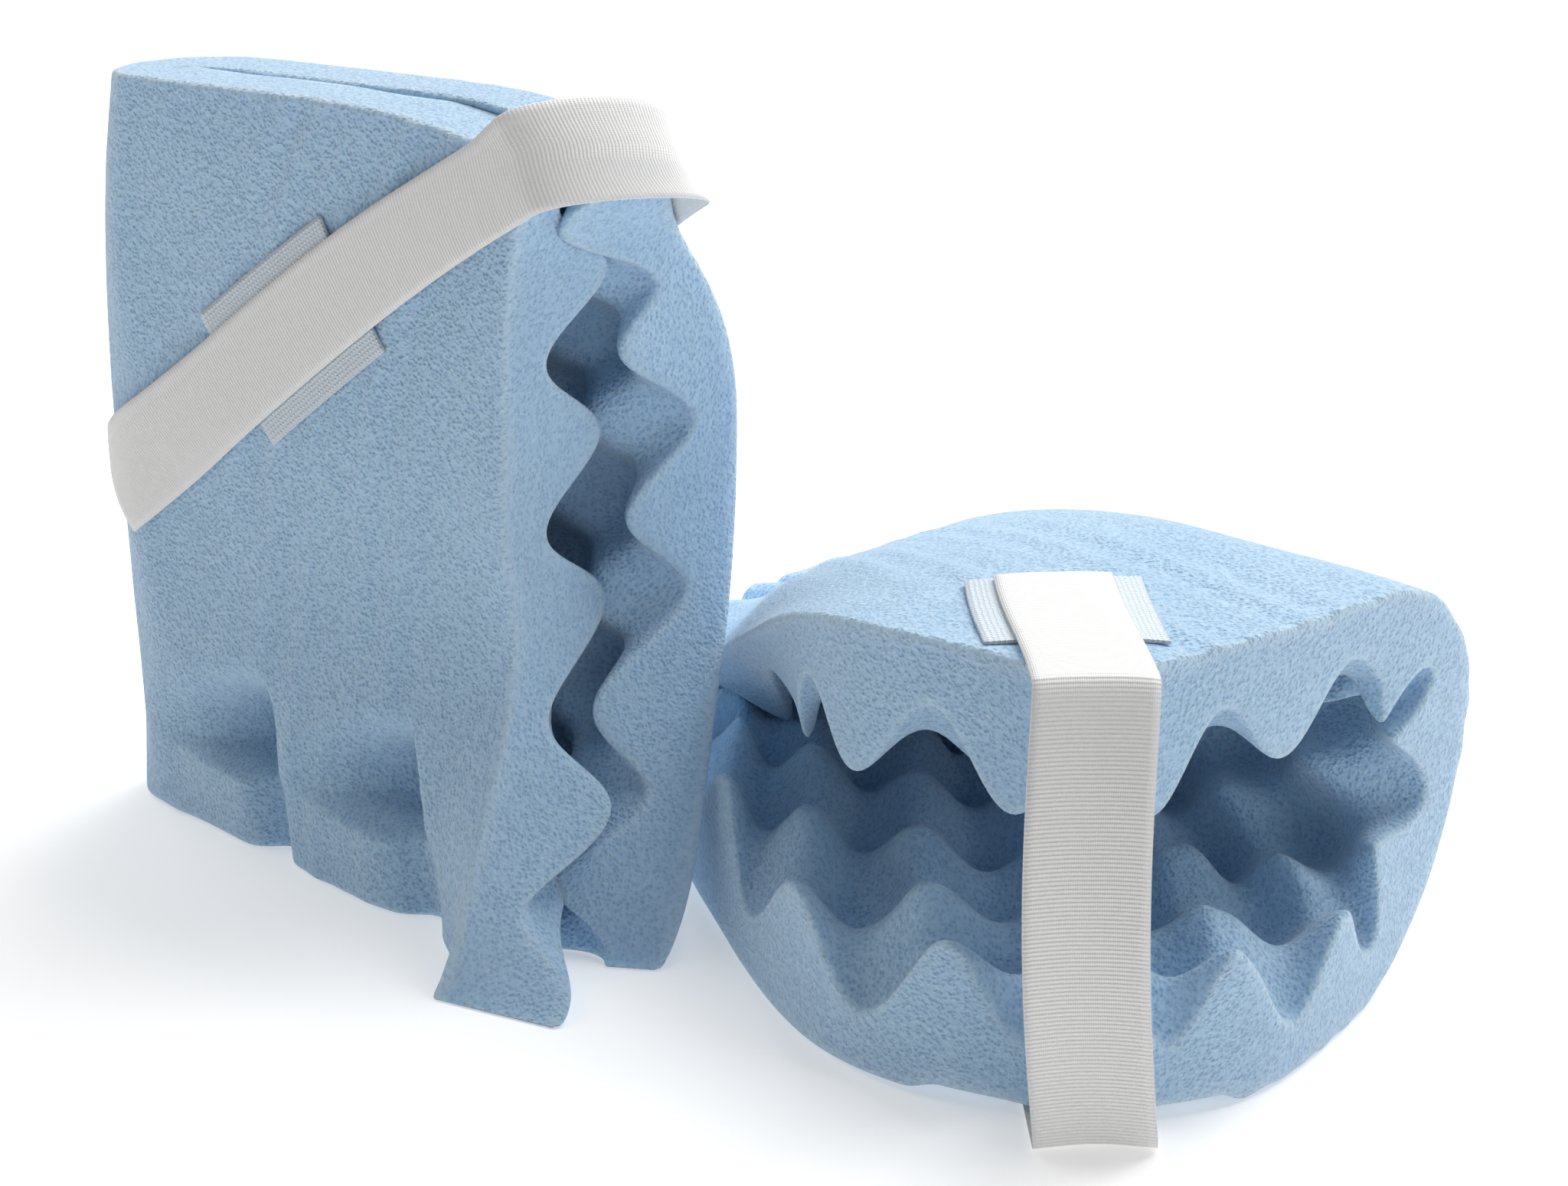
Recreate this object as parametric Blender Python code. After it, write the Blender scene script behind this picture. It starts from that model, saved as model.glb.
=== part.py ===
"""A pair of convoluted foam heel protectors, one standing on its tacked end and one lying on its side.

Each protector is one rectangle of egg-crate foam folded once, so the smooth face is outside and the
peaks face each other.  Two tag fasteners gather the sole end, and a loop-tape strap crosses the open
front corner and grips a patch of hook tape on each panel.

Sheet coordinates: u runs along the fold from the sole end (0) to the leg end (LENGTH); v runs across
the fold, positive on the near panel and negative on the far panel, zero at the fold.
"""
import bpy
import numpy as np
from mathutils import Matrix

# ---- driving dimensions, metres ----
CELL = 0.03175                 # half the distance between foam peaks, 1.25 in
LENGTH = 9 * CELL              # sheet length along the fold
WIDTH = 15 * CELL              # sheet width across the fold
PEAK = 0.046                   # foam thickness at a peak
VALLEY = 0.020                 # foam thickness in a valley
STRAP_WIDTH = 0.038
STRAP_THICK = 0.0015
PATCH_ACROSS = 0.057           # hook patch, across the strap
PATCH_ALONG = 0.068            # hook patch, along the strap
PATCH_THICK = 0.0012
CLEAR = 0.0005                 # air left between neighbouring pieces
TAG_ROD = 0.0008               # radius of a tag fastener's filament
TAG_BAR = 0.0012               # half thickness of its end bars
TAG_BAR_LENGTH = 0.006
TAG_HOLE = 0.0034              # half width of the pierced hole
TAG_STAND = 0.0052             # how far a bar stands off the foam it pulls on
GRID_U = 30
GRID_V = 44

STANDING = dict(
    name="standing",
    origin=(-0.2246, 0.0659, 0.0),
    along=(0.0, 0.0, 1.0),
    front=(0.839, -0.545, 0.0),
    inward=(0.545, 0.839, 0.0),
    near_cells=7,
    stretch=(0.010, 0.026),
    levels=(0.0, 0.035, 0.09, 0.17, 0.25, LENGTH),
    fold_front=(-0.032, -0.034, -0.040, -0.040, -0.028, -0.016),
    fold_in=(0.020, 0.030, 0.036, 0.036, 0.030, 0.024),
    near_arc=(0.035, 0.050, 0.056, 0.056, 0.046, 0.036),
    far_arc=(0.046, 0.062, 0.090, 0.110, 0.084, 0.056),
    lean=(-12.0, -7.0, 0.0, 0.0, 0.0, 0.0),
    near_swing=(-66.0, -34.0, -8.0, -6.0, -4.0, 0.0),
    far_swing=(-46.0, -38.0, -26.0, -14.0, -14.0, -10.0),
    gather=(1.0, 1.0, 1.0, 1.0, 1.0, 1.0),
    skew=(0.0, 0.0),
    tuck=((-0.006, -0.006), (-0.040, -0.022)),
    tags=((0.034, 0.098, 0.024), (0.034, 0.172, 0.030)),
    strap_angle=40.0,
    strap_run=0.255,
    strap_far_run=0.150,
    patch_at=0.137,
    far_patch_at=0.110,
    bulge=(0.026, 0.040),
)

LYING = dict(
    name="lying",
    origin=(0.0539, 0.1749, 0.140),
    along=(0.682, -0.731, 0.0),
    front=(-0.731, -0.682, 0.0),
    inward=(0.0, 0.0, -1.0),
    near_cells=7,
    stretch=(0.0, 0.016),
    levels=(0.0, 0.035, 0.09, 0.17, 0.25, LENGTH),
    fold_front=(0.006, 0.004, 0.0, 0.0, 0.0, 0.0),
    fold_in=(0.092, 0.086, 0.068, 0.056, 0.052, 0.052),
    near_arc=(0.036, 0.046, 0.067, 0.082, 0.081, 0.081),
    far_arc=(0.075, 0.085, 0.116, 0.135, 0.141, 0.141),
    lean=(0.0, 0.0, 0.0, 0.0, 0.0, 0.0),
    near_swing=(40.0, 42.0, 38.0, 0.0, 0.0, 0.0),
    far_swing=(-30.0, -22.0, -10.0, 0.0, 0.0, 0.0),
    gather=(0.63, 0.69, 0.85, 1.0, 1.0, 1.0),
    skew=(-0.012, 0.030),
    tuck=((-0.014, -0.008), (-0.026, -0.034)),
    tags=((0.036, 0.100, 0.036), (0.036, 0.146, 0.036)),
    strap_angle=48.0,
    strap_run=0.105,
    strap_far_run=0.120,
    patch_at=0.072,
    far_patch_at=0.085,
    bulge=(0.036, 0.030),
)


def clear_scene():
    for item in list(bpy.data.objects):
        bpy.data.objects.remove(item, do_unlink=True)


def curve(x, xs, ys):
    """Smooth curve through the listed levels, with slopes taken from the neighbouring levels."""
    xs = np.array(xs)
    ys = np.array(ys)
    slopes = np.gradient(ys, xs)
    x = np.clip(x, xs[0], xs[-1])
    i = np.clip(np.searchsorted(xs, x) - 1, 0, len(xs) - 2)
    span = xs[i + 1] - xs[i]
    t = (x - xs[i]) / span
    start = (1 + 2 * t) * (1 - t) ** 2 * ys[i] + t * (1 - t) ** 2 * span * slopes[i]
    end = t * t * (3 - 2 * t) * ys[i + 1] - t * t * (1 - t) * span * slopes[i + 1]
    return start + end


def smooth(x):
    x = np.clip(x, 0.0, 1.0)
    return x * x * (3 - 2 * x)


def unit(v):
    return v / np.linalg.norm(v, axis=-1, keepdims=True)


class Protector:
    """One folded sheet: places sheet coordinates (u, v) and a depth into the foam in space."""

    SWING_SPAN = 0.055         # how far behind the front edge a panel starts to curl
    TUCK_REACH = 0.060         # how far a corner is drawn in by the strap
    STEPS = 40                 # integration steps along a panel

    def __init__(self, spec):
        self.spec = spec
        self.near_width = spec["near_cells"] * CELL
        self.far_width = WIDTH - self.near_width
        self.tags = []
        for u, v, reach in spec["tags"]:
            s = np.linspace(0.03, self.far_width, 400)
            across = self.base(np.full(400, u), -s)
            near = self.base(np.array([u]), np.array([v]))[0]
            into = self.base(np.array([u]), np.array([v]), 1.0)[0] - near
            miss = np.linalg.norm(np.cross(across - near, into), axis=1)
            best = int(np.argmin(miss))
            half = float(np.linalg.norm(across[best] - near)) / 2
            self.tags.append((u, v, -s[best], reach, half))

    def level(self, key, u):
        return curve(u, self.spec["levels"], self.spec[key])

    def travel(self, v):
        """Distance over the outer face from the fold, which stretches as it goes round the fold."""
        near, far = self.spec["stretch"]
        return np.abs(v) + np.where(v >= 0, near, far) * smooth(np.abs(v) / 0.09)

    def gather(self, u, v):
        """Share of its width a panel keeps where the tags gather it."""
        return 1 - (1 - self.level("gather", u)) * smooth(np.abs(v) / 0.15)

    def heading(self, u, s, near):
        """Direction of travel from the fold to the front edge, measured from the front axis."""
        arc = self.level("near_arc" if near else "far_arc", u)
        turn = (np.pi / 2) * (1 - np.clip(s / arc, 0, 1))
        width = self.near_width if near else self.far_width
        width += self.spec["stretch"][0 if near else 1]
        swing = self.level("near_swing" if near else "far_swing", u)
        width = width * self.level("gather", u)
        bend = swing * smooth((s - width + self.SWING_SPAN) / self.SWING_SPAN)
        lean = self.level("lean", u) * smooth(s / 0.04)
        return (-turn if near else turn) + np.radians(bend + lean)

    def section(self, u, v):
        """Place a point of the outer face by adding up short steps along its panel's heading."""
        near = v >= 0
        s = self.travel(v) * self.gather(u, v)
        front = self.level("fold_front", u)
        into = self.level("fold_in", u)
        for k in range(self.STEPS):
            at = s * (k + 0.5) / self.STEPS
            angle = np.where(near, self.heading(u, at, True), self.heading(u, at, False))
            front = front + np.cos(angle) * s / self.STEPS
            into = into + np.sin(angle) * s / self.STEPS
        return front, into

    def base(self, u, v, depth=0.0):
        """World position of a point at a depth below the outer face, which rests on the ground."""
        spec = self.spec
        axes = [np.array(spec[key]) for key in ("front", "inward", "along")]
        front, into = self.section(u, v)
        s = self.travel(v) * self.gather(u, v)
        width = np.where(v >= 0, self.near_width, self.far_width)
        side = np.where(v >= 0, 0, 1)
        corner = np.exp(-(np.hypot(LENGTH - u, width - np.abs(v)) / self.TUCK_REACH) ** 2)
        tuck = np.array(spec["tuck"])[side] * corner[..., None]
        skew = np.array(spec["skew"])[side] * smooth(s / width) * smooth(u / LENGTH)
        parts = (front + tuck[..., 0], into, u + skew + tuck[..., 1])
        place = np.array(spec["origin"]) + sum(p[..., None] * axis for p, axis in zip(parts, axes))
        place[..., 2] = np.maximum(place[..., 2], self.floor(u, v))
        angle = np.where(v >= 0, self.heading(u, s, True), self.heading(u, s, False))
        sign = np.where(v >= 0, 1.0, -1.0)
        place += (-sign * np.sin(angle) * depth)[..., None] * axes[0]
        place += (sign * np.cos(angle) * depth)[..., None] * axes[1]
        return place

    def floor(self, u, v):
        """Height of the face the foam rests on: the ground, or the strap passing under it."""
        if self.spec["inward"][2] == 0.0:
            return np.zeros_like(u)
        angle = np.radians(self.spec["strap_angle"])
        up = LENGTH - u
        back = self.far_width + np.minimum(v, 0.0)
        run = up * np.sin(angle) + back * np.cos(angle)
        aside = np.abs(back * np.sin(angle) - up * np.cos(angle))
        near_strap = (aside < 0.050) & (run < self.spec["strap_far_run"] + 0.02) & (v < 0)
        return np.where(near_strap, 3 * CLEAR + STRAP_THICK + PATCH_THICK, 0.0)

    def convolution(self, u, v):
        """Height of the egg-crate face between valley (0) and peak (1)."""
        rows = np.cos(np.pi * (LENGTH - u) / CELL)
        columns = np.cos(np.pi * (self.near_width - v) / CELL)
        return 0.5 - 0.5 * rows * columns

    def room(self, u, v):
        """Distance from a point of the outer face to the front part of the other panel."""
        place = self.base(u, v)[..., None, :]
        us = np.linspace(0.0, LENGTH, 37)
        nearest = np.ones_like(u)
        for back in np.linspace(0.0, 0.12, 25):
            near = self.base(us, np.full_like(us, self.near_width - back))
            far = self.base(us, np.full_like(us, back - self.far_width))
            to_near = np.linalg.norm(place - near, axis=-1).min(axis=-1)
            to_far = np.linalg.norm(place - far, axis=-1).min(axis=-1)
            nearest = np.minimum(nearest, np.where(v >= 0, to_far, to_near))
        return nearest

    def depths(self, u, v):
        """Depth of the outer and of the inner face, gathered around the tag fasteners."""
        gap = 2 / np.pi * (self.level("near_arc", u) + self.level("far_arc", u))
        at_fold = np.minimum(1.0, (gap / 2 - 0.005) / PEAK)
        back = np.where(v >= 0, self.near_width, self.far_width) - np.abs(v)
        at_front = np.clip((self.room(u, v) - 0.0060) / (PEAK + VALLEY), 0.2, 1.0)
        press = at_fold + (at_front - at_fold) * smooth((0.090 - back) / 0.050)
        inner = press * (VALLEY + (PEAK - VALLEY) * self.convolution(u, v))
        outer = np.zeros_like(inner)
        for tag_u, near, far, reach, half in self.tags:
            away = np.hypot(u - tag_u, v - np.where(v >= 0, near, far))
            pull = np.exp(-(away / 0.022) ** 2)
            inner = inner * (1 - pull) + (half - 0.0008) * pull
            outer = np.maximum(outer, (half - 0.005) * np.exp(-(away / reach) ** 1.6))
        return np.minimum(outer, inner - 0.004), inner


def grid_lines(low, high, count, marks):
    """Evenly spaced lines, with the two nearest lines moved to the sides of each pierced hole."""
    lines = np.linspace(low, high, count + 1)
    for mark in sorted(marks):
        i = int(np.clip(np.searchsorted(lines, mark), 2, count - 1))
        lines[i - 1] = mark - TAG_HOLE
        lines[i] = mark + TAG_HOLE
    return lines


def make_object(name, points, faces, colour, rough):
    mesh = bpy.data.meshes.new(name)
    mesh.from_pydata([tuple(p) for p in points], [], faces)
    mesh.validate()
    material = bpy.data.materials.new(name + "_material")
    material.use_nodes = True
    shader = material.node_tree.nodes["Principled BSDF"]
    shader.inputs["Base Color"].default_value = colour
    shader.inputs["Roughness"].default_value = rough
    mesh.materials.append(material)
    item = bpy.data.objects.new(name, mesh)
    bpy.context.collection.objects.link(item)
    return item


def pivot(name, place):
    """An empty on the joint of what moves with it."""
    empty = bpy.data.objects.new(name, None)
    empty.location = [float(value) for value in place]
    bpy.context.collection.objects.link(empty)
    return empty


def hang(item, empty):
    """Parent an item to an empty without moving it."""
    item.parent = empty
    item.matrix_parent_inverse = Matrix.Translation(empty.location).inverted()


def shell(name, outer, inner, holes, colour, rough):
    """Close two matching grids of points into one solid, with square holes straight through."""
    rows, columns = outer.shape[:2]
    points = np.concatenate([outer.reshape(-1, 3), inner.reshape(-1, 3)])
    below = rows * columns
    faces = []

    def at(i, j, k=0):
        return k * below + i * columns + j

    for i in range(rows - 1):
        for j in range(columns - 1):
            ring = [at(i, j), at(i, j + 1), at(i + 1, j + 1), at(i + 1, j)]
            if (i, j) in holes:
                for a, b in zip(ring, ring[1:] + ring[:1]):
                    faces.append((a, b, b + below, a + below))
            else:
                faces.append(tuple(ring))
                faces.append(tuple(n + below for n in reversed(ring)))
    border = [at(0, j) for j in range(columns - 1)]
    border += [at(i, columns - 1) for i in range(rows - 1)]
    border += [at(rows - 1, j) for j in range(columns - 1, 0, -1)]
    border += [at(i, 0) for i in range(rows - 1, 0, -1)]
    for a, b in zip(border, border[1:] + border[:1]):
        faces.append((b, a, a + below, b + below))
    return make_object(name, points, faces, colour, rough)


def foam(body):
    """The folded egg-crate sheet."""
    us = grid_lines(0.0, LENGTH, GRID_U, [tag[0] for tag in body.tags[:1]])
    marks = [value for tag in body.tags for value in (tag[1], tag[2])]
    vs = grid_lines(-body.far_width, body.near_width, GRID_V, marks)
    u, v = np.meshgrid(us, vs, indexing="ij")
    outer_depth, inner_depth = body.depths(u, v)
    holes = set()
    for tag in body.tags:
        for mark in (tag[1], tag[2]):
            i = int(np.searchsorted(us, tag[0])) - 1
            j = int(np.searchsorted(vs, mark)) - 1
            holes.add((i, j))
    name = body.spec["name"] + "_foam"
    outer = body.base(u, v, outer_depth)
    inner = body.base(u, v, inner_depth)
    return shell(name, outer, inner, holes, (0.30, 0.47, 0.68, 1), 0.95)


def strap_place(body, x, w, height, far):
    """A strap point at distance x from the front corner and w aside, a height off the panel."""
    angle = np.radians(body.spec["strap_angle"])
    u = LENGTH - x * np.sin(angle) + w * np.cos(angle)
    if far:
        v = -(body.far_width - x * np.cos(angle) - w * np.sin(angle))
    else:
        v = body.near_width - x * np.cos(angle) - w * np.sin(angle)
    return body.base(u, v, -height)


def ribbon(name, centre, thick, colour, rough):
    """A flat band built up by a thickness on the outer side of a grid of points."""
    along = np.gradient(centre, axis=0)
    across = np.gradient(centre, axis=1)
    normal = unit(np.cross(along, across))
    outer = centre + normal * thick
    return shell(name, outer[:, ::-1], centre[:, ::-1], set(), colour, rough)


def strap(body):
    """The loop-tape strap: a run fixed on the far panel and a free run over the corner."""
    spec = body.spec
    height = 2 * CLEAR + PATCH_THICK
    white = (0.82, 0.81, 0.80, 1)
    half = STRAP_WIDTH / 2
    w = np.linspace(-half, half, 5)
    step = 0.002
    count = int(round(spec["strap_run"] / 0.009))
    x, side = np.meshgrid(np.linspace(spec["strap_run"], 0.0, count), w, indexing="ij")
    near_run = strap_place(body, x, side, height, False)
    leave = near_run[-1]
    before = strap_place(body, np.full(5, step), w, height, False)
    arrive = strap_place(body, np.zeros(5), w, height, True)
    after = strap_place(body, np.full(5, step), w, height, True)
    out = unit(leave - before) * spec["bulge"][0]
    into = unit(after - arrive) * spec["bulge"][1]
    t = np.linspace(0, 1, 15)[1:-1, None, None]
    crossing = ((1 + 2 * t) * (1 - t) ** 2 * leave + t * (1 - t) ** 2 * out
                + t * t * (3 - 2 * t) * arrive - t * t * (1 - t) * into)
    free_run = np.concatenate([near_run, crossing])
    free = ribbon(spec["name"] + "_strap_free", free_run, STRAP_THICK, white, 0.85)
    outside = strap_place(body, np.zeros(1), np.zeros(1), height + STRAP_THICK + CLEAR, True)
    hinge = pivot(spec["name"] + "_strap_hinge", outside[0])
    hang(free, hinge)
    count = int(round(spec["strap_far_run"] / 0.009))
    x, side = np.meshgrid(np.linspace(0.0, spec["strap_far_run"], count), w, indexing="ij")
    far_run = strap_place(body, x, side, height, True)
    fixed = ribbon(spec["name"] + "_strap_fixed", far_run, STRAP_THICK, white, 0.85)
    return [hinge, fixed]


def patch(body, far):
    """A rectangle of adhesive hook tape under the strap."""
    spec = body.spec
    middle = spec["far_patch_at"] if far else spec["patch_at"]
    x = np.linspace(middle + PATCH_ALONG / 2, middle - PATCH_ALONG / 2, 9)
    if far:
        x = x[::-1]
    x, w = np.meshgrid(x, np.linspace(-PATCH_ACROSS / 2, PATCH_ACROSS / 2, 8), indexing="ij")
    centre = strap_place(body, x, w, CLEAR, far)
    name = spec["name"] + ("_patch_far" if far else "_patch_near")
    return ribbon(name, centre, PATCH_THICK, (0.60, 0.64, 0.66, 1), 0.5)


def tag(body, index):
    """A nylon tag fastener: a thin filament through both panels with a bar across each end."""
    tag_u, near, far, reach, half = body.tags[index]
    u = np.array([tag_u])
    start = body.base(u, np.array([near]), half - 0.005)[0]
    end = body.base(u, np.array([far]), half - 0.005)[0]
    axis = unit(end - start)
    start = start - axis * TAG_STAND
    end = end + axis * TAG_STAND
    cross = np.array(body.spec["along"])
    cross = unit(cross - axis * np.dot(cross, axis))
    other = np.cross(axis, cross)
    points = []
    profile = [(-TAG_BAR, TAG_BAR, TAG_BAR_LENGTH / 2), (TAG_BAR, TAG_BAR, TAG_BAR_LENGTH / 2),
               (TAG_BAR, TAG_ROD, TAG_ROD)]
    length = float(np.linalg.norm(end - start))
    rings = profile + [(length - d, a, b) for d, a, b in reversed(profile)]
    for distance, a, b in rings:
        for p, q in ((-a, -b), (a, -b), (a, b), (-a, b)):
            points.append(start + axis * distance + cross * p + other * q)
    faces = [(3, 2, 1, 0)]
    for ring in range(len(rings) - 1):
        for k in range(4):
            a = ring * 4 + k
            b = ring * 4 + (k + 1) % 4
            faces.append((a, b, b + 4, a + 4))
    last = 4 * (len(rings) - 1)
    faces.append((last, last + 1, last + 2, last + 3))
    name = f"{body.spec['name']}_tag_{index + 1}"
    return make_object(name, points, faces, (0.85, 0.86, 0.88, 1), 0.35)


clear_scene()
for spec in (STANDING, LYING):
    body = Protector(spec)
    pieces = [foam(body), patch(body, far=False), patch(body, far=True)]
    pieces += strap(body)
    pieces += [tag(body, index) for index in range(len(body.tags))]
    whole = pivot(spec["name"] + "_protector", spec["origin"])
    for piece in pieces:
        hang(piece, whole)
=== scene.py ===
"""A pair of blue egg-crate foam heel protectors, each closed by a ribbed strap over hook-tape patches."""
import math

import bpy
import numpy as np
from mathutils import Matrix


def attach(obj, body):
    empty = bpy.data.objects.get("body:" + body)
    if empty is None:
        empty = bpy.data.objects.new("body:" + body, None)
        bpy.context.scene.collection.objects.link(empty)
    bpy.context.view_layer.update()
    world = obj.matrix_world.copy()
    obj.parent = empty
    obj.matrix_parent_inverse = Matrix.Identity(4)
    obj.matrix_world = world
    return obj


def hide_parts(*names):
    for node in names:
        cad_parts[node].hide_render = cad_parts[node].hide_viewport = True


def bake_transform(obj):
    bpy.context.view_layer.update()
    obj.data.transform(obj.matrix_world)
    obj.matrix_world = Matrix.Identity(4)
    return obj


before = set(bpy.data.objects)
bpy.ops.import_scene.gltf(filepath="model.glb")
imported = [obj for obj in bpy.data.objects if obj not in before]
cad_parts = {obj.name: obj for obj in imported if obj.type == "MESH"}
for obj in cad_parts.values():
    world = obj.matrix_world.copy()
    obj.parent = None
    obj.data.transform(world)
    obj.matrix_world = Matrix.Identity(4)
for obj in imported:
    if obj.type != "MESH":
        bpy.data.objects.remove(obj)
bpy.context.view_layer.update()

# ---------------------------------------------------------------------------------------------
# Camera: a 55 mm lens, 0.42 m above the ground and looking 21 degrees down on the pair.
# ---------------------------------------------------------------------------------------------
lens = bpy.data.cameras.new("camera")
lens.sensor_width = 36.0
lens.lens = 55.1
camera = bpy.data.objects.new("camera", lens)
camera.location = (0.0124, -0.7921, 0.417)
camera.rotation_euler = (math.radians(69.1), 0.0, 0.0)
bpy.context.collection.objects.link(camera)
bpy.context.scene.camera = camera

# ---------------------------------------------------------------------------------------------
# The foam: each protector is one sheet of convoluted polyurethane foam, 9 by 15 half pitches,
# cut with a saw on all four sides, folded once with its peaks inside and its smooth face outside.
# Two tag fasteners pinch the sole end together, which leaves deep puckers in both panels.
# ---------------------------------------------------------------------------------------------
CELL = 0.03175                 # half the distance between peaks
LENGTH = 9 * CELL              # along the fold, from the sole end to the leg end
WIDTH = 15 * CELL              # across the fold
PEAK = 0.046
VALLEY = 0.020
ARRIS = 0.0022                 # rounding where a cut face meets a moulded face
TAPE = 0.0037                  # height taken under the lying foam by its strap and patch

# Each protector has its own frame: an origin, and the directions along the fold, to the front and
# from the near panel into the far one.  The lists give values at six levels of u: where the fold
# lies, the radius of each half of it, how far the panels lean and how much their rims swing, in
# degrees.  Tuck draws the strapped corners in, toe pushes the sole corners out.
STANDING = dict(
    name="standing",
    origin=(-0.2246, 0.0659, 0.0),
    along=(0.0, 0.0, 1.0),
    front=(0.839, -0.545, 0.0),
    inward=(0.545, 0.839, 0.0),
    near_cells=7,
    stretch=(0.010, 0.026),
    levels=(0.0, 0.035, 0.09, 0.17, 0.25, LENGTH),
    fold_front=(-0.032, -0.034, -0.040, -0.040, -0.028, -0.016),
    fold_in=(0.020, 0.030, 0.036, 0.036, 0.030, 0.024),
    near_arc=(0.035, 0.050, 0.056, 0.056, 0.046, 0.036),
    far_arc=(0.060, 0.070, 0.090, 0.110, 0.084, 0.056),
    lean=(-9.0, -6.0, 0.0, 0.0, 0.0, 0.0),
    near_swing=(-72.0, -34.0, -8.0, -6.0, -4.0, 0.0),
    far_swing=(-56.0, -40.0, -26.0, -14.0, -14.0, -10.0),
    gather=(1.0, 1.0, 1.0, 1.0, 1.0, 1.0),
    skew=(0.0, 0.0),
    tuck=((-0.012, -0.010), (-0.040, -0.022)),
    toe=(0.015, 0.022),
    teeth=1.08,
    row_shift=0.019,
    tags=((0.034, 0.098), (0.034, 0.172)),
    strap_angle=40.0,
    strap_run=0.247,
    strap_far_run=0.150,
    patch_at=0.128,
    far_patch_at=0.110,
    bulge=(0.046, 0.046),
    leave_at=0.008,
    bow=0.0,
)

LYING = dict(
    name="lying",
    origin=(0.0539, 0.1749, 0.140),
    along=(0.682, -0.731, 0.0),
    front=(-0.731, -0.682, 0.0),
    inward=(0.0, 0.0, -1.0),
    near_cells=7,
    stretch=(0.0, 0.016),
    levels=(0.0, 0.035, 0.09, 0.17, 0.25, LENGTH),
    fold_front=(0.006, 0.004, 0.0, 0.0, 0.0, 0.0),
    fold_in=(0.092, 0.086, 0.068, 0.056, 0.052, 0.052),
    near_arc=(0.036, 0.046, 0.067, 0.082, 0.081, 0.081),
    far_arc=(0.075, 0.085, 0.116, 0.135, 0.141, 0.141),
    lean=(0.0, 0.0, 0.0, 0.0, 0.0, 0.0),
    near_swing=(40.0, 42.0, 38.0, 0.0, 0.0, 0.0),
    far_swing=(-30.0, -22.0, -10.0, 0.0, 0.0, 0.0),
    gather=(0.63, 0.69, 0.85, 1.0, 1.0, 1.0),
    skew=(-0.012, 0.030),
    tuck=((-0.014, -0.008), (-0.022, -0.028)),
    toe=(0.0, 0.0),
    teeth=1.14,
    row_shift=0.0,
    tags=((0.036, 0.100), (0.036, 0.146)),
    strap_angle=48.0,
    strap_run=0.105,
    strap_far_run=0.120,
    patch_at=0.072,
    far_patch_at=0.085,
    bulge=(0.036, 0.030),
    leave_at=0.0,
    bow=0.006,
)


def curve(x, xs, ys):
    """Cubic curve through the levels, whose slope at each is the mean slope to its neighbours."""
    xs = np.array(xs)
    ys = np.array(ys)
    slopes = np.gradient(ys, xs)
    x = np.clip(x, xs[0], xs[-1])
    i = np.clip(np.searchsorted(xs, x) - 1, 0, len(xs) - 2)
    span = xs[i + 1] - xs[i]
    t = (x - xs[i]) / span
    start = (1 + 2 * t) * (1 - t) ** 2 * ys[i] + t * (1 - t) ** 2 * span * slopes[i]
    end = t * t * (3 - 2 * t) * ys[i + 1] - t * t * (1 - t) * span * slopes[i + 1]
    return start + end


def smooth(x):
    """3x^2 - 2x^3 between 0 and 1."""
    x = np.clip(x, 0.0, 1.0)
    return x * x * (3 - 2 * x)


def bell(x, width):
    """exp(-(x / width)^2)."""
    return np.exp(-(x / width) ** 2)


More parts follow.
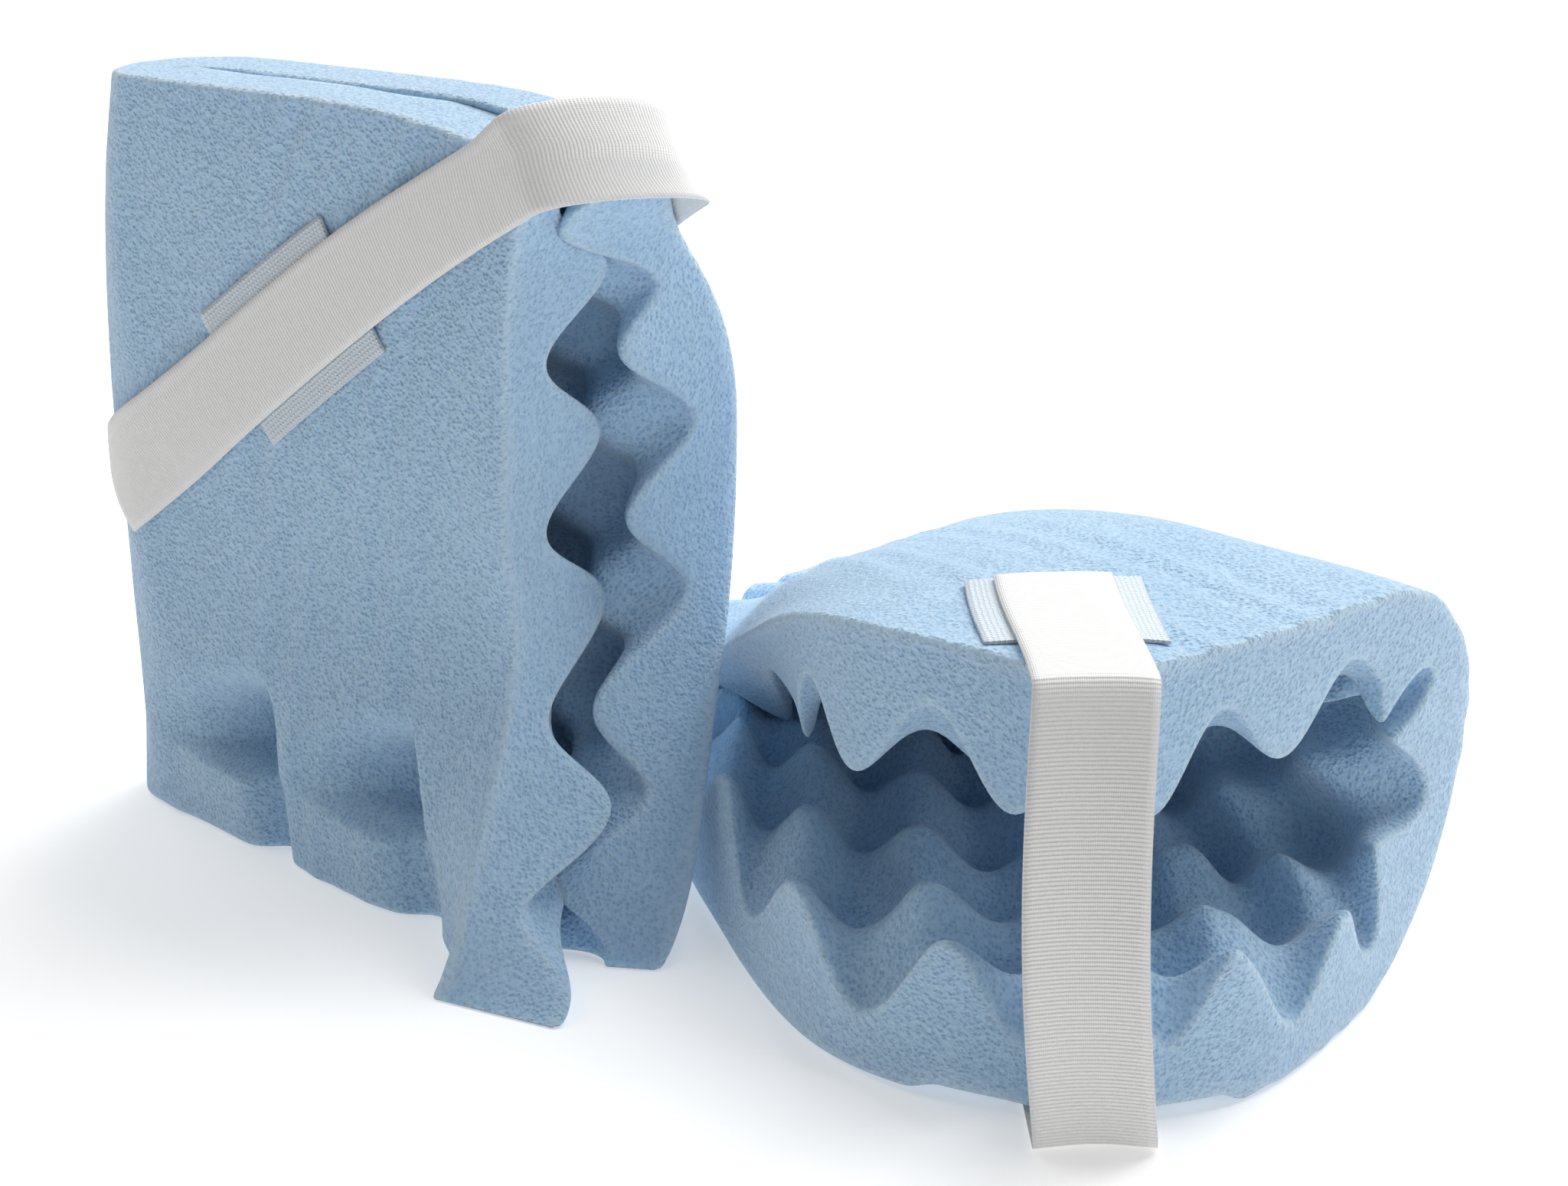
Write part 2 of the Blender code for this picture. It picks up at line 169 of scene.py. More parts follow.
class Protector:
    """One folded sheet: places sheet coordinates (u, v) and a depth into the foam in space.
    u runs along the fold from the sole end; v is positive on the near panel, negative on the far."""

    SWING_SPAN = 0.055         # last part of a panel, over which its rim swings
    TUCK_REACH = 0.060
    TOE_REACH = 0.045
    GROUND = 0.0003            # the foam's clearance over the ground
    ROW_FADE = 0.06            # height over which the shift of the rows dies out at the sole end
    RIM_REACH = 0.100          # how far back from the rim the fold's squeeze starts
    SOFTNESS = 0.0025          # rounding where peaks are squeezed flat in the fold
    LEAST_WALL = 0.004
    TAG_HALF = 0.0008          # half the gap between the panels at a tag
    TAG_SKIN = 0.005           # foam left between a pucker and the middle of the fold
    STEPS = 40

    def __init__(self, spec):
        self.spec = spec
        self.near_width = spec["near_cells"] * CELL
        self.far_width = WIDTH - self.near_width
        self.tags = []
        for u, v in spec["tags"]:
            s = np.linspace(0.03, self.far_width, 400)
            across = self.base(np.full(400, u), -s)
            near = self.base(np.array([u]), np.array([v]))[0]
            into = self.base(np.array([u]), np.array([v]), 1.0)[0] - near
            miss = np.linalg.norm(np.cross(across - near, into), axis=1)
            best = int(np.argmin(miss))
            half = float(np.linalg.norm(across[best] - near)) / 2
            self.tags.append((u, v, -s[best], half))

    def level(self, key, u):
        return curve(u, self.spec["levels"], self.spec[key])

    def travel(self, v):
        """Distance over the outer face from the fold, which stretches as it goes round the fold."""
        near, far = self.spec["stretch"]
        return np.abs(v) + np.where(v >= 0, near, far) * smooth(np.abs(v) / 0.09)

    def gather(self, u, v):
        """Share of its width a panel keeps where the tags gather it."""
        return 1 - (1 - self.level("gather", u)) * smooth(np.abs(v) / 0.15)

    def heading(self, u, s, near):
        """Quarter turn that dies out over the arc, plus a curl over the last part of the panel."""
        arc = self.level("near_arc" if near else "far_arc", u)
        turn = (np.pi / 2) * (1 - np.clip(s / arc, 0, 1))
        width = self.near_width if near else self.far_width
        width += self.spec["stretch"][0 if near else 1]
        swing = self.level("near_swing" if near else "far_swing", u)
        width = width * self.level("gather", u)
        bend = swing * smooth((s - width + self.SWING_SPAN) / self.SWING_SPAN)
        lean = self.level("lean", u) * smooth(s / 0.04)
        return (-turn if near else turn) + np.radians(bend + lean)

    def section(self, u, v):
        """Sum of short steps along the panel's heading, from the fold."""
        near = v >= 0
        s = self.travel(v) * self.gather(u, v)
        front = self.level("fold_front", u)
        into = self.level("fold_in", u)
        for k in range(self.STEPS):
            at = s * (k + 0.5) / self.STEPS
            angle = np.where(near, self.heading(u, at, True), self.heading(u, at, False))
            front = front + np.cos(angle) * s / self.STEPS
            into = into + np.sin(angle) * s / self.STEPS
        return front, into

    def base(self, u, v, depth=0.0):
        """The section's point, drawn in at the strap's corner, kept off the ground, sunk by depth."""
        spec = self.spec
        axes = [np.array(spec[key]) for key in ("front", "inward", "along")]
        front, into = self.section(u, v)
        s = self.travel(v) * self.gather(u, v)
        width = np.where(v >= 0, self.near_width, self.far_width)
        side = np.where(v >= 0, 0, 1)
        corner = bell(np.hypot(LENGTH - u, width - np.abs(v)), self.TUCK_REACH)
        toe = bell(np.hypot(u, 0.7 * (width - np.abs(v))), self.TOE_REACH)
        tuck = np.array(spec["tuck"])[side] * corner[..., None]
        front = front + np.array(spec["toe"])[side] * toe
        skew = np.array(spec["skew"])[side] * smooth(s / width) * smooth(u / LENGTH)
        parts = (front + tuck[..., 0], into, u + skew + tuck[..., 1])
        place = np.array(spec["origin"]) + sum(p[..., None] * axis for p, axis in zip(parts, axes))
        place[..., 2] = np.maximum(place[..., 2], self.floor(u, v) + self.GROUND)
        angle = np.where(v >= 0, self.heading(u, s, True), self.heading(u, s, False))
        sign = np.where(v >= 0, 1.0, -1.0)
        place += (-sign * np.sin(angle) * depth)[..., None] * axes[0]
        place += (sign * np.cos(angle) * depth)[..., None] * axes[1]
        return place

    def floor(self, u, v):
        """Zero, or the tape's height over the strap that passes under a lying protector."""
        if self.spec["inward"][2] == 0.0:
            return np.zeros_like(u)
        angle = np.radians(self.spec["strap_angle"])
        up = LENGTH - u
        back = self.far_width + np.minimum(v, 0.0)
        run = up * np.sin(angle) + back * np.cos(angle)
        aside = np.abs(back * np.sin(angle) - up * np.cos(angle))
        beside = smooth((0.052 - aside) / 0.010)
        before_end = smooth((self.spec["strap_far_run"] + 0.02 - run) / 0.01)
        return np.where(v < 0, beside * before_end * TAPE, 0.0)

    def convolution(self, u, v):
        """Half of one less the product of two cosines: 0 in a valley, 1 on a peak.  The rows lie a
        little towards the sole end of even spacing, and not at all at the sole edge itself."""
        shift = self.spec["row_shift"] * smooth(u / self.ROW_FADE)
        rows = np.cos(np.pi * (LENGTH - u - shift) / CELL)
        columns = np.cos(np.pi * (self.near_width - v) / CELL)
        return 0.5 - 0.5 * rows * columns

    def room(self, u, v):
        """Distance from a point of the outer face to the front part of the other panel."""
        place = self.base(u, v)[..., None, :]
        us = np.linspace(0.0, LENGTH, 37)
        nearest = np.ones_like(u)
        for back in np.linspace(0.0, 0.12, 25):
            near = self.base(us, np.full_like(us, self.near_width - back))
            far = self.base(us, np.full_like(us, back - self.far_width))
            to_near = np.linalg.norm(place - near, axis=-1).min(axis=-1)
            to_far = np.linalg.norm(place - far, axis=-1).min(axis=-1)
            nearest = np.minimum(nearest, np.where(v >= 0, to_far, to_near))
        return nearest

    def press(self, u, v):
        """Share of its full thickness that the foam has room for at the front, on a coarse grid."""
        us = np.linspace(0.0, LENGTH, 28)
        vs = np.linspace(-self.far_width, self.near_width, 61)
        cu, cv = np.meshgrid(us, vs, indexing="ij")
        table = np.clip((self.room(cu, cv) + 0.0060) / (PEAK + VALLEY), 0.55, self.spec["teeth"])
        i = np.clip(u / LENGTH * 27, 0, 26.999)
        j = np.clip((v + self.far_width) / WIDTH * 60, 0, 59.999)
        a, b = i.astype(int), j.astype(int)
        p, q = smooth(i - a), smooth(j - b)
        top = table[a, b] * (1 - q) + table[a, b + 1] * q
        low = table[a + 1, b] * (1 - q) + table[a + 1, b + 1] * q
        return top * (1 - p) + low * p

    def pucker(self, u, v):
        """Pit at each tag: long and shallow towards the fold, steep towards the front, with a faint
        crease below it that runs on down to the sole edge.  Returns the outer depth, how far the
        inner face is pulled to the middle, and where that middle is."""
        outer = np.zeros_like(u)
        pull = np.zeros_like(u)
        limit = np.zeros_like(u)
        for tag_u, near, far, half in self.tags:
            ahead = np.abs(v) - np.where(v >= 0, near, -far)
            up = u - tag_u
            reach = np.where(ahead < 0, 0.060, 0.011)
            height = np.where(up > 0, 0.036, 0.010)
            round_it = np.hypot(ahead / reach, up / height)
            deep = half - self.TAG_SKIN
            slope = 0.36 + 0.64 * smooth(1 + ahead / 0.042)
            pit = deep * slope * (1 - smooth((round_it - 0.20) / 0.80))
            crease = 0.30 * deep * bell(ahead - 0.001, 0.0085) * smooth(-up / 0.012 + 0.3)
            outer = np.maximum(outer, np.maximum(pit, crease))
            hold = bell(np.hypot(up, ahead), 0.020)
            pull = np.maximum(pull, hold)
            limit = np.where(hold >= pull, half - self.TAG_HALF, limit)
        return outer, pull, limit

    def depths(self, u, v):
        """Depth of the outer and of the inner face, gathered around the tag fasteners.  At the fold
        the inner face is the rounded minimum of the moulded thickness and half the gap."""
        full = VALLEY + (PEAK - VALLEY) * self.convolution(u, v)
        gap = 2 / np.pi * (self.level("near_arc", u) + self.level("far_arc", u))
        soft = self.SOFTNESS
        at_fold = -soft * np.log(np.exp(-full / soft) + np.exp(-(gap / 2 - 0.0005) / soft))
        back = np.where(v >= 0, self.near_width, self.far_width) - np.abs(v)
        at_rim = smooth((self.RIM_REACH - back) / 0.050)
        inner = at_fold + (self.press(u, v) * full - at_fold) * at_rim
        outer, pull, limit = self.pucker(u, v)
        inner = inner * (1 - pull) + limit * pull
        walled = np.minimum(np.maximum(inner, outer + 0.006), np.maximum(limit, inner))
        inner = np.where(pull > 0.02, walled, inner)
        return np.minimum(outer, inner - self.LEAST_WALL), inner


def crowded(low, high, count, marks):
    """Lines from low to high: even in the middle, crowded at both ends and round the marks.  They
    are even steps of the running total of a density."""
    x = np.linspace(low, high, 4000)
    density = 1 + 3.0 * (np.exp(-(x - low) / 0.003) + np.exp(-(high - x) / 0.003))
    for mark in marks:
        density += 1.3 * bell(x - mark, 0.014)
    total = np.concatenate([[0.0], np.cumsum((density[1:] + density[:-1]) / 2)])
    return np.interp(np.linspace(0, total[-1], count), total, x)


def closed_sheet(name, outer, inner, wall, uv=None):
    """Two matching grids of points, joined round their border by `wall` rows of faces.  Returns the
    piece and the number of points round the border."""
    rows, columns = outer.shape[:2]
    size = rows * columns
    index = np.arange(size).reshape(rows, columns)
    cells = np.stack([index[:-1, :-1], index[:-1, 1:], index[1:, 1:], index[1:, :-1]], axis=-1)
    cells = cells.reshape(-1, 4)
    border = np.concatenate([index[0, :-1], index[:-1, -1], index[-1, :0:-1], index[:0:-1, 0]])
    share = np.arange(1, wall)[:, None, None] / wall
    flat_outer = outer.reshape(-1, 3)
    flat_inner = inner.reshape(-1, 3)
    between = flat_outer[border] * (1 - share) + flat_inner[border] * share
    points = np.concatenate([flat_outer, flat_inner, between.reshape(-1, 3)])
    ring = len(border)
    steps = [border] + [2 * size + k * ring + np.arange(ring) for k in range(wall - 1)]
    steps.append(border + size)
    quads = [cells, cells[:, ::-1] + size]
    for a, b in zip(steps[:-1], steps[1:]):
        quads.append(np.stack([np.roll(a, -1), a, b, np.roll(b, -1)], axis=-1))
    quads = np.concatenate(quads).astype(np.int32)
    mesh = bpy.data.meshes.new(name)
    mesh.vertices.add(len(points))
    mesh.vertices.foreach_set("co", points.astype(np.float32).ravel())
    mesh.loops.add(quads.size)
    mesh.loops.foreach_set("vertex_index", quads.ravel())
    mesh.polygons.add(len(quads))
    mesh.polygons.foreach_set("loop_start", np.arange(0, quads.size, 4, dtype=np.int32))
    mesh.polygons.foreach_set("loop_total", np.full(len(quads), 4, dtype=np.int32))
    mesh.update(calc_edges=True)
    if uv is not None:
        flat_uv = uv.reshape(-1, 2)
        rim_uv = np.tile(flat_uv[border], (wall - 1, 1))
        every = np.concatenate([flat_uv, flat_uv, rim_uv])
        layer = mesh.uv_layers.new(name="weave")
        layer.data.foreach_set("uv", every[quads.ravel()].astype(np.float32).ravel())
    mesh.polygons.foreach_set("use_smooth", np.ones(len(quads), dtype=bool))
    mesh.validate()
    piece = bpy.data.objects.new(name, mesh)
    bpy.context.collection.objects.link(piece)
    return piece, ring


def foam_sheet(body):
    """The folded sheet on a grid of crowded lines, its arrises rounded and its faces a little uneven."""
    us = crowded(0.0, LENGTH, 165, [tag[0] for tag in body.tags[:1]])
    tag_vs = [value for tag in body.tags for value in tag[1:3]]
    vs = crowded(-body.far_width, body.near_width, 285, tag_vs)
    u, v = np.meshgrid(us, vs, indexing="ij")
    outer_depth, inner_depth = body.depths(u, v)
    edge_u = np.minimum(u, LENGTH - u)
    edge_v = np.minimum(v + body.far_width, body.near_width - v)
    edge = np.minimum(edge_u, edge_v)
    short = np.clip(ARRIS - edge, 0, ARRIS)
    rounding = ARRIS - np.sqrt(ARRIS ** 2 - short ** 2)
    uneven = 0.0006 * np.sin(61 * u + 17 * np.sin(23 * v)) * np.sin(53 * v + 2)
    outer = body.base(u, v, outer_depth + rounding + uneven)
    inner = body.base(u, v, inner_depth - rounding)
    wall = 8
    piece, ring = closed_sheet(body.spec["name"] + "_foam_sheet", outer, inner, wall)
    rim = np.ones((wall - 1) * ring)
    # Mask of a painted highlight: 1 on the cut faces, fading over a millimetre or two onto the faces
    # beside them.
    cut_face_highlight = np.concatenate([bell(edge.ravel(), 0.0016), bell(edge.ravel(), 0.0012), rim])
    # Mask of a painted highlight along the arrises: full at the outer face's edge, weaker at the inner,
    # faint on the cut face next to both.
    middle = np.repeat(np.abs(np.arange(1, wall) / (wall / 2) - 1), ring)
    arris_highlight = np.concatenate([bell(edge.ravel(), 0.0018), 0.6 * bell(edge.ravel(), 0.0018),
                            smooth((middle - 0.7) / 0.3) * 0.5])
    for name, values in (("cut_face_highlight", cut_face_highlight), ("arris_highlight", arris_highlight)):
        layer = piece.data.attributes.new(name, "FLOAT", "POINT")
        layer.data.foreach_set("value", values.astype(np.float32))
    return piece


def new_material(name, base, rough):
    """A material whose Principled shader has this colour and roughness; returns its pieces too."""
    material = bpy.data.materials.new(name)
    material.use_nodes = True
    shader = material.node_tree.nodes["Principled BSDF"]
    shader.inputs["Base Color"].default_value = (*base, 1)
    shader.inputs["Roughness"].default_value = rough
    return material, material.node_tree, shader


def node(tree, kind, inputs=None, **settings):
    """A node of this kind, with these settings and input values."""
    item = tree.nodes.new(kind)
    for key, value in settings.items():
        setattr(item, key, value)
    for key, value in (inputs or {}).items():
        item.inputs[key].default_value = value
    return item


def mix(tree, factor, first, second, blend="MIX"):
    """A colour mix; each argument is a socket or a colour."""
    item = tree.nodes.new("ShaderNodeMix")
    item.data_type = "RGBA"
    item.blend_type = blend
    for key, value in ((0, factor), (6, first), (7, second)):
        if hasattr(value, "links"):
            tree.links.new(value, item.inputs[key])
        else:
            item.inputs[key].default_value = value
    return item.outputs[2]


def ramp(tree, value, low, high, low_out=0.0, high_out=1.0):
    """Value carried from low..high to low_out..high_out, held inside that range."""
    item = node(tree, "ShaderNodeMapRange", {1: low, 2: high, 3: low_out, 4: high_out})
    tree.links.new(value, item.inputs[0])
    return item.outputs[0]


def calc(tree, operation, first, second=None):
    """The output of a maths node; each argument is a socket or a number."""
    item = node(tree, "ShaderNodeMath", operation=operation)
    for index, value in enumerate((first, second)):
        if hasattr(value, "links"):
            tree.links.new(value, item.inputs[index])
        elif value is not None:
            item.inputs[index].default_value = value
    return item.outputs[0]


# The foam's skin of open cells: dark pores about a millimetre across between pale struts.
foam_material, tree, shader = new_material("blue_foam", (0.37, 0.585, 0.83), 0.95)
shader.inputs["Specular IOR Level"].default_value = 0.15
shader.inputs["Sheen Weight"].default_value = 0.55
shader.inputs["Sheen Roughness"].default_value = 0.5
shader.inputs["Sheen Tint"].default_value = (0.90, 0.96, 1.0, 1)
shader.inputs["Subsurface Weight"].default_value = 0.25
shader.inputs["Subsurface Radius"].default_value = (0.6, 0.8, 1.0)
shader.inputs["Subsurface Scale"].default_value = 0.008
place = node(tree, "ShaderNodeTexCoord")
pores = node(tree, "ShaderNodeTexVoronoi", {"Scale": 640.0, "Randomness": 1.0})
fibres = node(tree, "ShaderNodeTexNoise", {"Scale": 480.0, "Detail": 3.0, "Roughness": 0.6})
batch = node(tree, "ShaderNodeTexNoise", {"Scale": 14.0, "Detail": 2.0})
speck = node(tree, "ShaderNodeTexNoise", {"Scale": 260.0, "Detail": 1.0})
for texture in (pores, fibres, batch, speck):
    tree.links.new(place.outputs["Object"], texture.inputs["Vector"])
pore = ramp(tree, pores.outputs["Distance"], 0.10, 0.62)
fibre = ramp(tree, fibres.outputs["Fac"], 0.32, 0.68)
colour = mix(tree, pore, (0.27, 0.485, 0.735, 1), (0.48, 0.69, 0.905, 1))
colour = mix(tree, ramp(tree, fibres.outputs["Fac"], 0.35, 0.75, 0.0, 0.5), colour, (0.58, 0.76, 0.92, 1))
colour = mix(tree, ramp(tree, batch.outputs["Fac"], 0.3, 0.7, 0.0, 0.22), colour, (0.32, 0.55, 0.80, 1))
colour = mix(tree, ramp(tree, speck.outputs["Fac"], 0.66, 0.78, 0.0, 0.35), colour, (0.62, 0.78, 0.92, 1))
cut_face_highlight = node(tree, "ShaderNodeAttribute", attribute_name="cut_face_highlight")
arris_highlight = node(tree, "ShaderNodeAttribute", attribute_name="arris_highlight")
# Painted highlight: the cut faces and narrow bands beside them are mixed paler, as if catching the light.
colour = mix(tree, ramp(tree, cut_face_highlight.outputs["Fac"], 0.0, 1.0, 0.0, 0.18), colour, (0.50, 0.69, 0.88, 1))
# Painted highlight: a pale line along each arris, standing for the light that the fuzzy cut edge catches.
colour = mix(tree, ramp(tree, arris_highlight.outputs["Fac"], 0.0, 1.0, 0.0, 0.45), colour, (0.66, 0.80, 0.92, 1))
tree.links.new(colour, shader.inputs["Base Color"])
height = calc(tree, "ADD", pore, fibre)
bump = node(tree, "ShaderNodeBump", {"Strength": 0.65, "Distance": 0.0010})
tree.links.new(height, bump.inputs["Height"])
tree.links.new(bump.outputs["Normal"], shader.inputs["Normal"])

bodies = [Protector(STANDING), Protector(LYING)]
foams = []
for body in bodies:
    name = body.spec["name"]
    piece = foam_sheet(body)
    piece.data.materials.append(foam_material)
    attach(piece, name + "_protector")
    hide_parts(name + "_foam")
    foams.append(piece)

# ---------------------------------------------------------------------------------------------
# The straps: 38 mm brushed loop tape, white, woven with fine ribs across it and a plain selvedge
# along each edge.  Cut square, stuck to the far patch, led over the open corner to the near patch.
# ---------------------------------------------------------------------------------------------
STRAP_WIDTH = 0.038
STRAP_THICK = 0.0015
PATCH_THICK = 0.0012
CLEAR = 0.0005
RIB = 0.0013                   # pitch of the ribs
YARN = 0.0007                  # pitch of the yarns across the ribs


def strap_place(body, x, w, height, far):
    """A strap point at distance x from the front corner and w aside, a height off the panel."""
    angle = np.radians(body.spec["strap_angle"])
    u = LENGTH - x * np.sin(angle) + w * np.cos(angle)
    if far:
        v = -(body.far_width - x * np.cos(angle) - w * np.sin(angle))
    else:
        v = body.near_width - x * np.cos(angle) - w * np.sin(angle)
    return body.base(u, v, -height)


def unit(v):
    return v / np.linalg.norm(v, axis=-1, keepdims=True)


def band(name, centre, thick, crown, wall):
    """A band on a grid of points, as thick as said on its outer side and rounded at its edges by
    the fourth power of the distance from the middle; the weave's map is in metres."""
    normal = unit(np.cross(np.gradient(centre, axis=0), np.gradient(centre, axis=1)))
    side = np.linspace(-1, 1, centre.shape[1])[None, :, None]
    outer = centre + normal * (thick - crown * side ** 4)
    inner = centre + normal * crown * side ** 4 * 0.5
    along = np.linalg.norm(np.diff(centre[:, centre.shape[1] // 2], axis=0), axis=1)
    along = np.concatenate([[0.0], np.cumsum(along)])
    across = np.linalg.norm(np.diff(centre[0], axis=0), axis=1)
    across = np.concatenate([[0.0], np.cumsum(across)])
    uv = np.stack(np.meshgrid(along, across, indexing="ij")[::-1], axis=-1)
    piece, _ = closed_sheet(name, outer[:, ::-1], inner[:, ::-1], wall, uv[:, ::-1])
    return piece, float(along[-1])


def strap_path(body):
    """Near run from its free end almost to the corner, a cubic over the open corner that bows out
    by a squared sine, then the far run.  Returns the grid and the middle of the far run's start."""
    spec = body.spec
    height = 2 * CLEAR + PATCH_THICK
    w = np.linspace(-STRAP_WIDTH / 2, STRAP_WIDTH / 2, 15)
    step = 0.002
    x, side = np.meshgrid(np.linspace(spec["strap_run"], spec["leave_at"], 90), w, indexing="ij")
    near_run = strap_place(body, x, side, height, False)
    leave = near_run[-1]
    before = strap_place(body, np.full(15, spec["leave_at"] + step), w, height, False)
    arrive = strap_place(body, np.zeros(15), w, height, True)
    after = strap_place(body, np.full(15, step), w, height, True)
    out = unit(leave - before) * spec["bulge"][0]
    into = unit(after - arrive) * spec["bulge"][1]
    t = np.linspace(0, 1, 72)[1:-1, None, None]
    crossing = ((1 + 2 * t) * (1 - t) ** 2 * leave + t * (1 - t) ** 2 * out
                + t * t * (3 - 2 * t) * arrive - t * t * (1 - t) * into)
    crossing += np.array(spec["front"]) * spec["bow"] * np.sin(np.pi * t) ** 2
    x, side = np.meshgrid(np.linspace(0.0, spec["strap_far_run"], 60), w, indexing="ij")
    far_run = strap_place(body, x, side, height, True)
    return np.concatenate([near_run, crossing, far_run]), arrive[7]


# Loop tape: ribs across the tape, the nap brushed over them, a grey shadow between.
strap_material, tree, shader = new_material("loop_tape", (0.84, 0.83, 0.81), 0.82)
shader.inputs["Specular IOR Level"].default_value = 0.25
shader.inputs["Sheen Weight"].default_value = 0.25
shader.inputs["Sheen Roughness"].default_value = 0.4
place = node(tree, "ShaderNodeUVMap", uv_map="weave")
split = node(tree, "ShaderNodeSeparateXYZ")
tree.links.new(place.outputs["UV"], split.inputs[0])
wobble = node(tree, "ShaderNodeTexNoise", {"Scale": 900.0, "Detail": 2.0})
tree.links.new(place.outputs["UV"], wobble.inputs["Vector"])
phase = calc(tree, "MULTIPLY", split.outputs["Y"], 2 * math.pi / RIB)
jitter = calc(tree, "MULTIPLY", wobble.outputs["Fac"], 1.1)
wave = calc(tree, "SINE", calc(tree, "ADD", phase, jitter))
ridge = ramp(tree, wave, -1.0, 0.6)
yarn = calc(tree, "SINE", calc(tree, "MULTIPLY", split.outputs["X"], 2 * math.pi / YARN))
distance = calc(tree, "ABSOLUTE", calc(tree, "SUBTRACT", split.outputs["X"], STRAP_WIDTH / 2))
border = ramp(tree, distance, 0.0168, 0.0174)
colour = mix(tree, ridge, (0.76, 0.755, 0.745, 1), (0.93, 0.925, 0.915, 1))
colour = mix(tree, ramp(tree, wobble.outputs["Fac"], 0.4, 0.7, 0.0, 0.25), colour, (0.97, 0.965, 0.955, 1))
colour = mix(tree, ramp(tree, border, 0.0, 1.0, 0.0, 0.6), colour, (0.90, 0.90, 0.895, 1))
tree.links.new(colour, shader.inputs["Base Color"])
weave = calc(tree, "ADD", ridge, calc(tree, "MULTIPLY", yarn, 0.25))
bump = node(tree, "ShaderNodeBump", {"Strength": 0.5, "Distance": 0.0003})
tree.links.new(weave, bump.inputs["Height"])
tree.links.new(bump.outputs["Normal"], shader.inputs["Normal"])

for body, foam in zip(bodies, foams):
    name = body.spec["name"]
    path, hinge = strap_path(body)
    piece, length = band(name + "_strap", path, STRAP_THICK, 0.0005, 2)
    piece.data.materials.append(strap_material)
    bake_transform(piece)
    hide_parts(name + "_strap_free", name + "_strap_fixed")

# ---------------------------------------------------------------------------------------------
# The hook patches: translucent moulded hook tape, cut square and stuck to the foam by its own
# adhesive back.  Rows of tiny hooks give it a dotted, slightly silvery face.
# ---------------------------------------------------------------------------------------------
PATCH_ACROSS = 0.057
PATCH_ALONG = 0.068
HOOK = 0.0017                  # spacing of the hooks

patch_material, tree, shader = new_material("hook_tape", (0.55, 0.62, 0.68), 0.45)
shader.inputs["Specular IOR Level"].default_value = 0.5
place = node(tree, "ShaderNodeUVMap", uv_map="weave")
grid = node(tree, "ShaderNodeVectorMath", operation="SCALE")
grid.inputs["Scale"].default_value = 1.0 / HOOK
tree.links.new(place.outputs["UV"], grid.inputs[0])
hooks = node(tree, "ShaderNodeTexVoronoi", {"Scale": 1.0, "Randomness": 0.18})
cloud = node(tree, "ShaderNodeTexNoise", {"Scale": 60.0, "Detail": 2.0})
tree.links.new(grid.outputs[0], hooks.inputs["Vector"])
tree.links.new(place.outputs["UV"], cloud.inputs["Vector"])
tip = ramp(tree, hooks.outputs["Distance"], 0.18, 0.40, 1.0, 0.0)
colour = mix(tree, tip, (0.57, 0.66, 0.74, 1), (0.82, 0.86, 0.89, 1))
colour = mix(tree, ramp(tree, cloud.outputs["Fac"], 0.35, 0.7, 0.0, 0.3), colour, (0.66, 0.70, 0.73, 1))
tree.links.new(colour, shader.inputs["Base Color"])
bump = node(tree, "ShaderNodeBump", {"Strength": 0.7, "Distance": 0.0005})
tree.links.new(tip, bump.inputs["Height"])
tree.links.new(bump.outputs["Normal"], shader.inputs["Normal"])

for body, foam in zip(bodies, foams):
    for side in ("near", "far"):
        far = side == "far"
        middle = body.spec["far_patch_at" if far else "patch_at"]
        x = middle + np.linspace(1, -1, 41) * PATCH_ALONG / 2
        if far:
            x = x[::-1]
        x, w = np.meshgrid(x, np.linspace(-1, 1, 35) * PATCH_ACROSS / 2, indexing="ij")
        centre = strap_place(body, x, w, CLEAR, far)
        node_name = body.spec["name"] + "_patch_" + side
        piece, _ = band(node_name + "_tape", centre, PATCH_THICK, 0.0003, 2)
        piece.data.materials.append(patch_material)
        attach(piece, body.spec["name"] + "_protector")
        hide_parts(node_name)

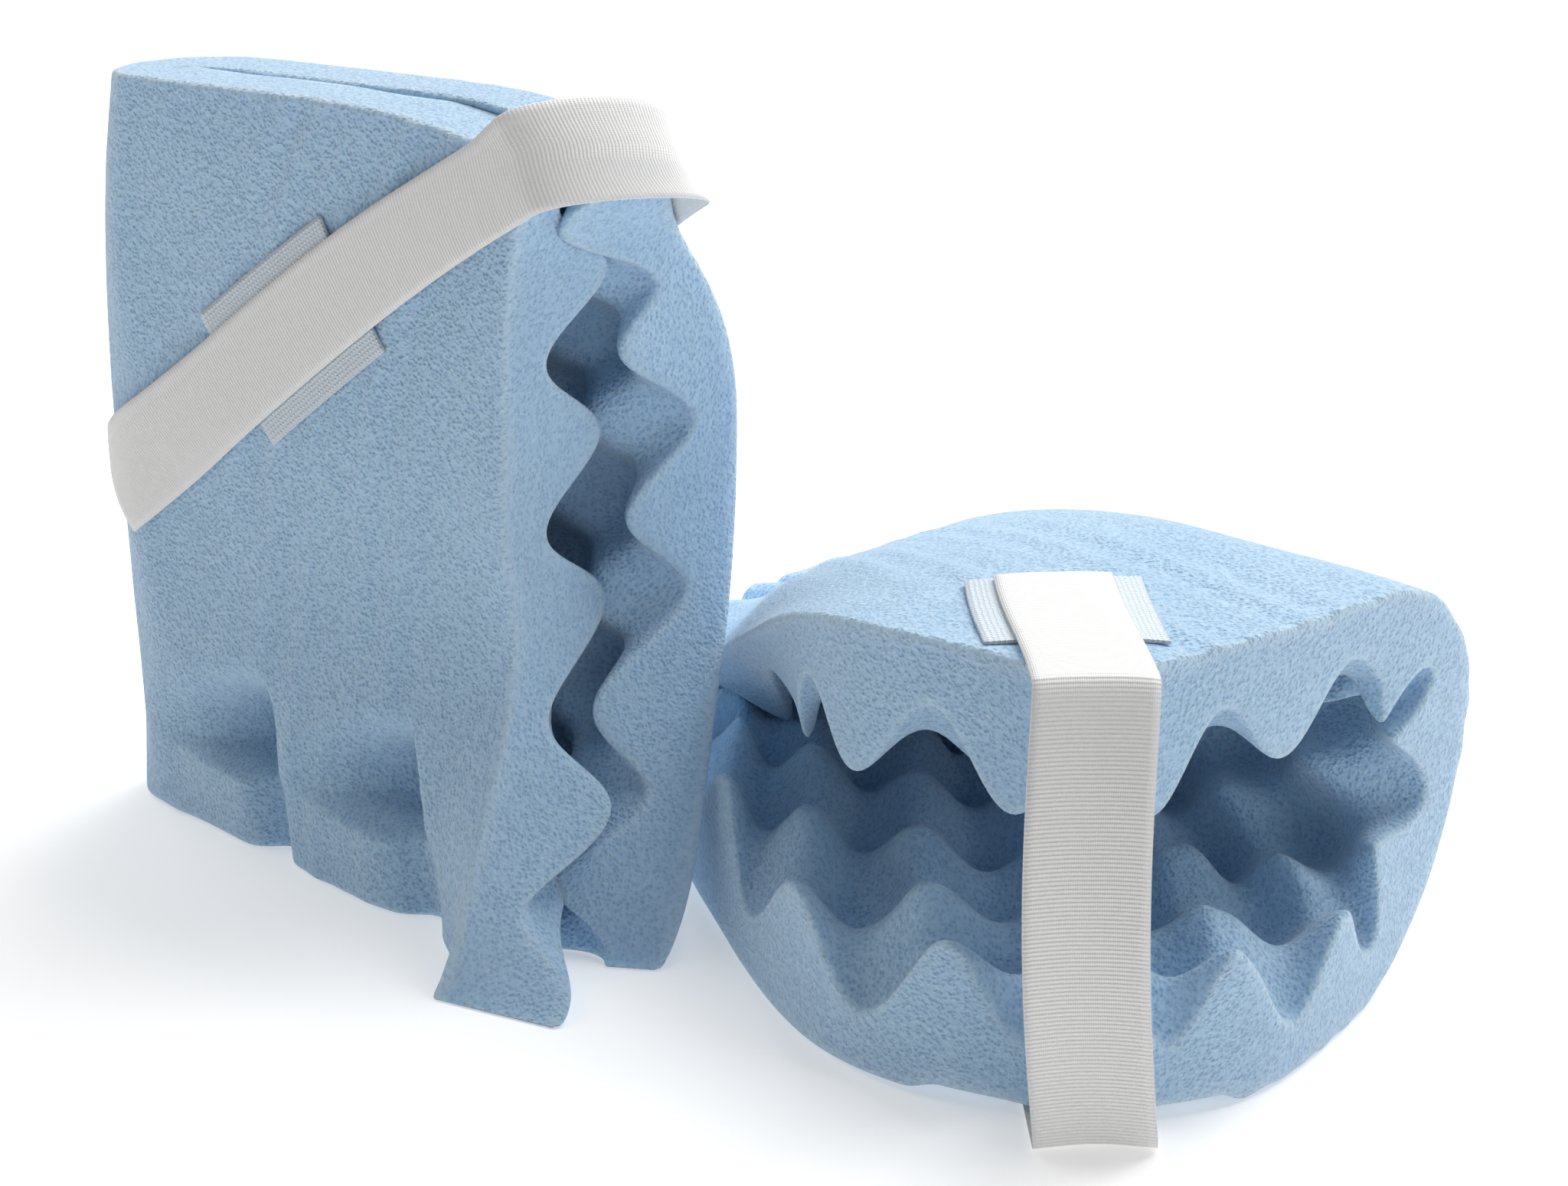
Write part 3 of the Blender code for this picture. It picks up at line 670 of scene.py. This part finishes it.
# ---------------------------------------------------------------------------------------------
# The tag fasteners: clear nylon, as used for price tags, shot through both panels and pulled
# down into the puckers, where the foam's colour shows through them.
# ---------------------------------------------------------------------------------------------
tag_material, tree, shader = new_material("clear_nylon", (0.42, 0.58, 0.74), 0.3)
shader.inputs["Specular IOR Level"].default_value = 0.5
place = node(tree, "ShaderNodeTexCoord")
flow = node(tree, "ShaderNodeTexNoise", {"Scale": 500.0, "Detail": 2.0})
tree.links.new(place.outputs["Object"], flow.inputs["Vector"])
colour = mix(tree, flow.outputs["Fac"], (0.36, 0.53, 0.71, 1), (0.50, 0.64, 0.78, 1))
tree.links.new(colour, shader.inputs["Base Color"])
for body in bodies:
    for index in (1, 2):
        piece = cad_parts[f"{body.spec['name']}_tag_{index}"]
        piece.data.materials.clear()
        piece.data.materials.append(tag_material)

# ---------------------------------------------------------------------------------------------
# Studio: a white sweep that glows a little, a large soft light high behind on the right, a small
# one low on the right and one high behind on the left.
# ---------------------------------------------------------------------------------------------
floor_mesh = bpy.data.meshes.new("floor")
floor_mesh.from_pydata([(-4, -4, 0), (4, -4, 0), (4, 6, 0), (-4, 6, 0)], [], [(0, 1, 2, 3)])
floor = bpy.data.objects.new("floor", floor_mesh)
floor.location.z = -0.0003
bpy.context.collection.objects.link(floor)
floor_material, tree, shader = new_material("floor", (0.90, 0.90, 0.90), 0.9)
shader.inputs["Specular IOR Level"].default_value = 0.1
shader.inputs["Emission Color"].default_value = (1, 1, 1, 1)
shader.inputs["Emission Strength"].default_value = 0.33
floor_mesh.materials.append(floor_material)


def softbox(name, place, target, size, power):
    """A square area light at a place, facing a target."""
    data = bpy.data.lights.new(name, "AREA")
    data.size = size
    data.energy = power
    lamp = bpy.data.objects.new(name, data)
    lamp.location = place
    direction = np.array(target) - np.array(place)
    yaw = math.atan2(-direction[0], direction[1])
    pitch = math.acos(-direction[2] / np.linalg.norm(direction))
    lamp.rotation_euler = (pitch, 0.0, yaw)
    bpy.context.collection.objects.link(lamp)


softbox("top", (1.2, 1.5, 2.4), (0.0, 0.0, 0.1), 3.0, 138.0)
softbox("right", (1.9, -1.1, 1.0), (0.0, 0.0, 0.12), 1.2, 7.0)
softbox("back", (-1.5, 1.2, 2.2), (-0.3, 1.0, 0.0), 2.0, 30.0)

world = bpy.data.worlds.new("studio")
world.use_nodes = True
world.node_tree.nodes["Background"].inputs["Color"].default_value = (1.0, 1.0, 1.0, 1)
world.node_tree.nodes["Background"].inputs["Strength"].default_value = 0.15
bpy.context.scene.world = world
bpy.context.scene.view_settings.view_transform = "Standard"
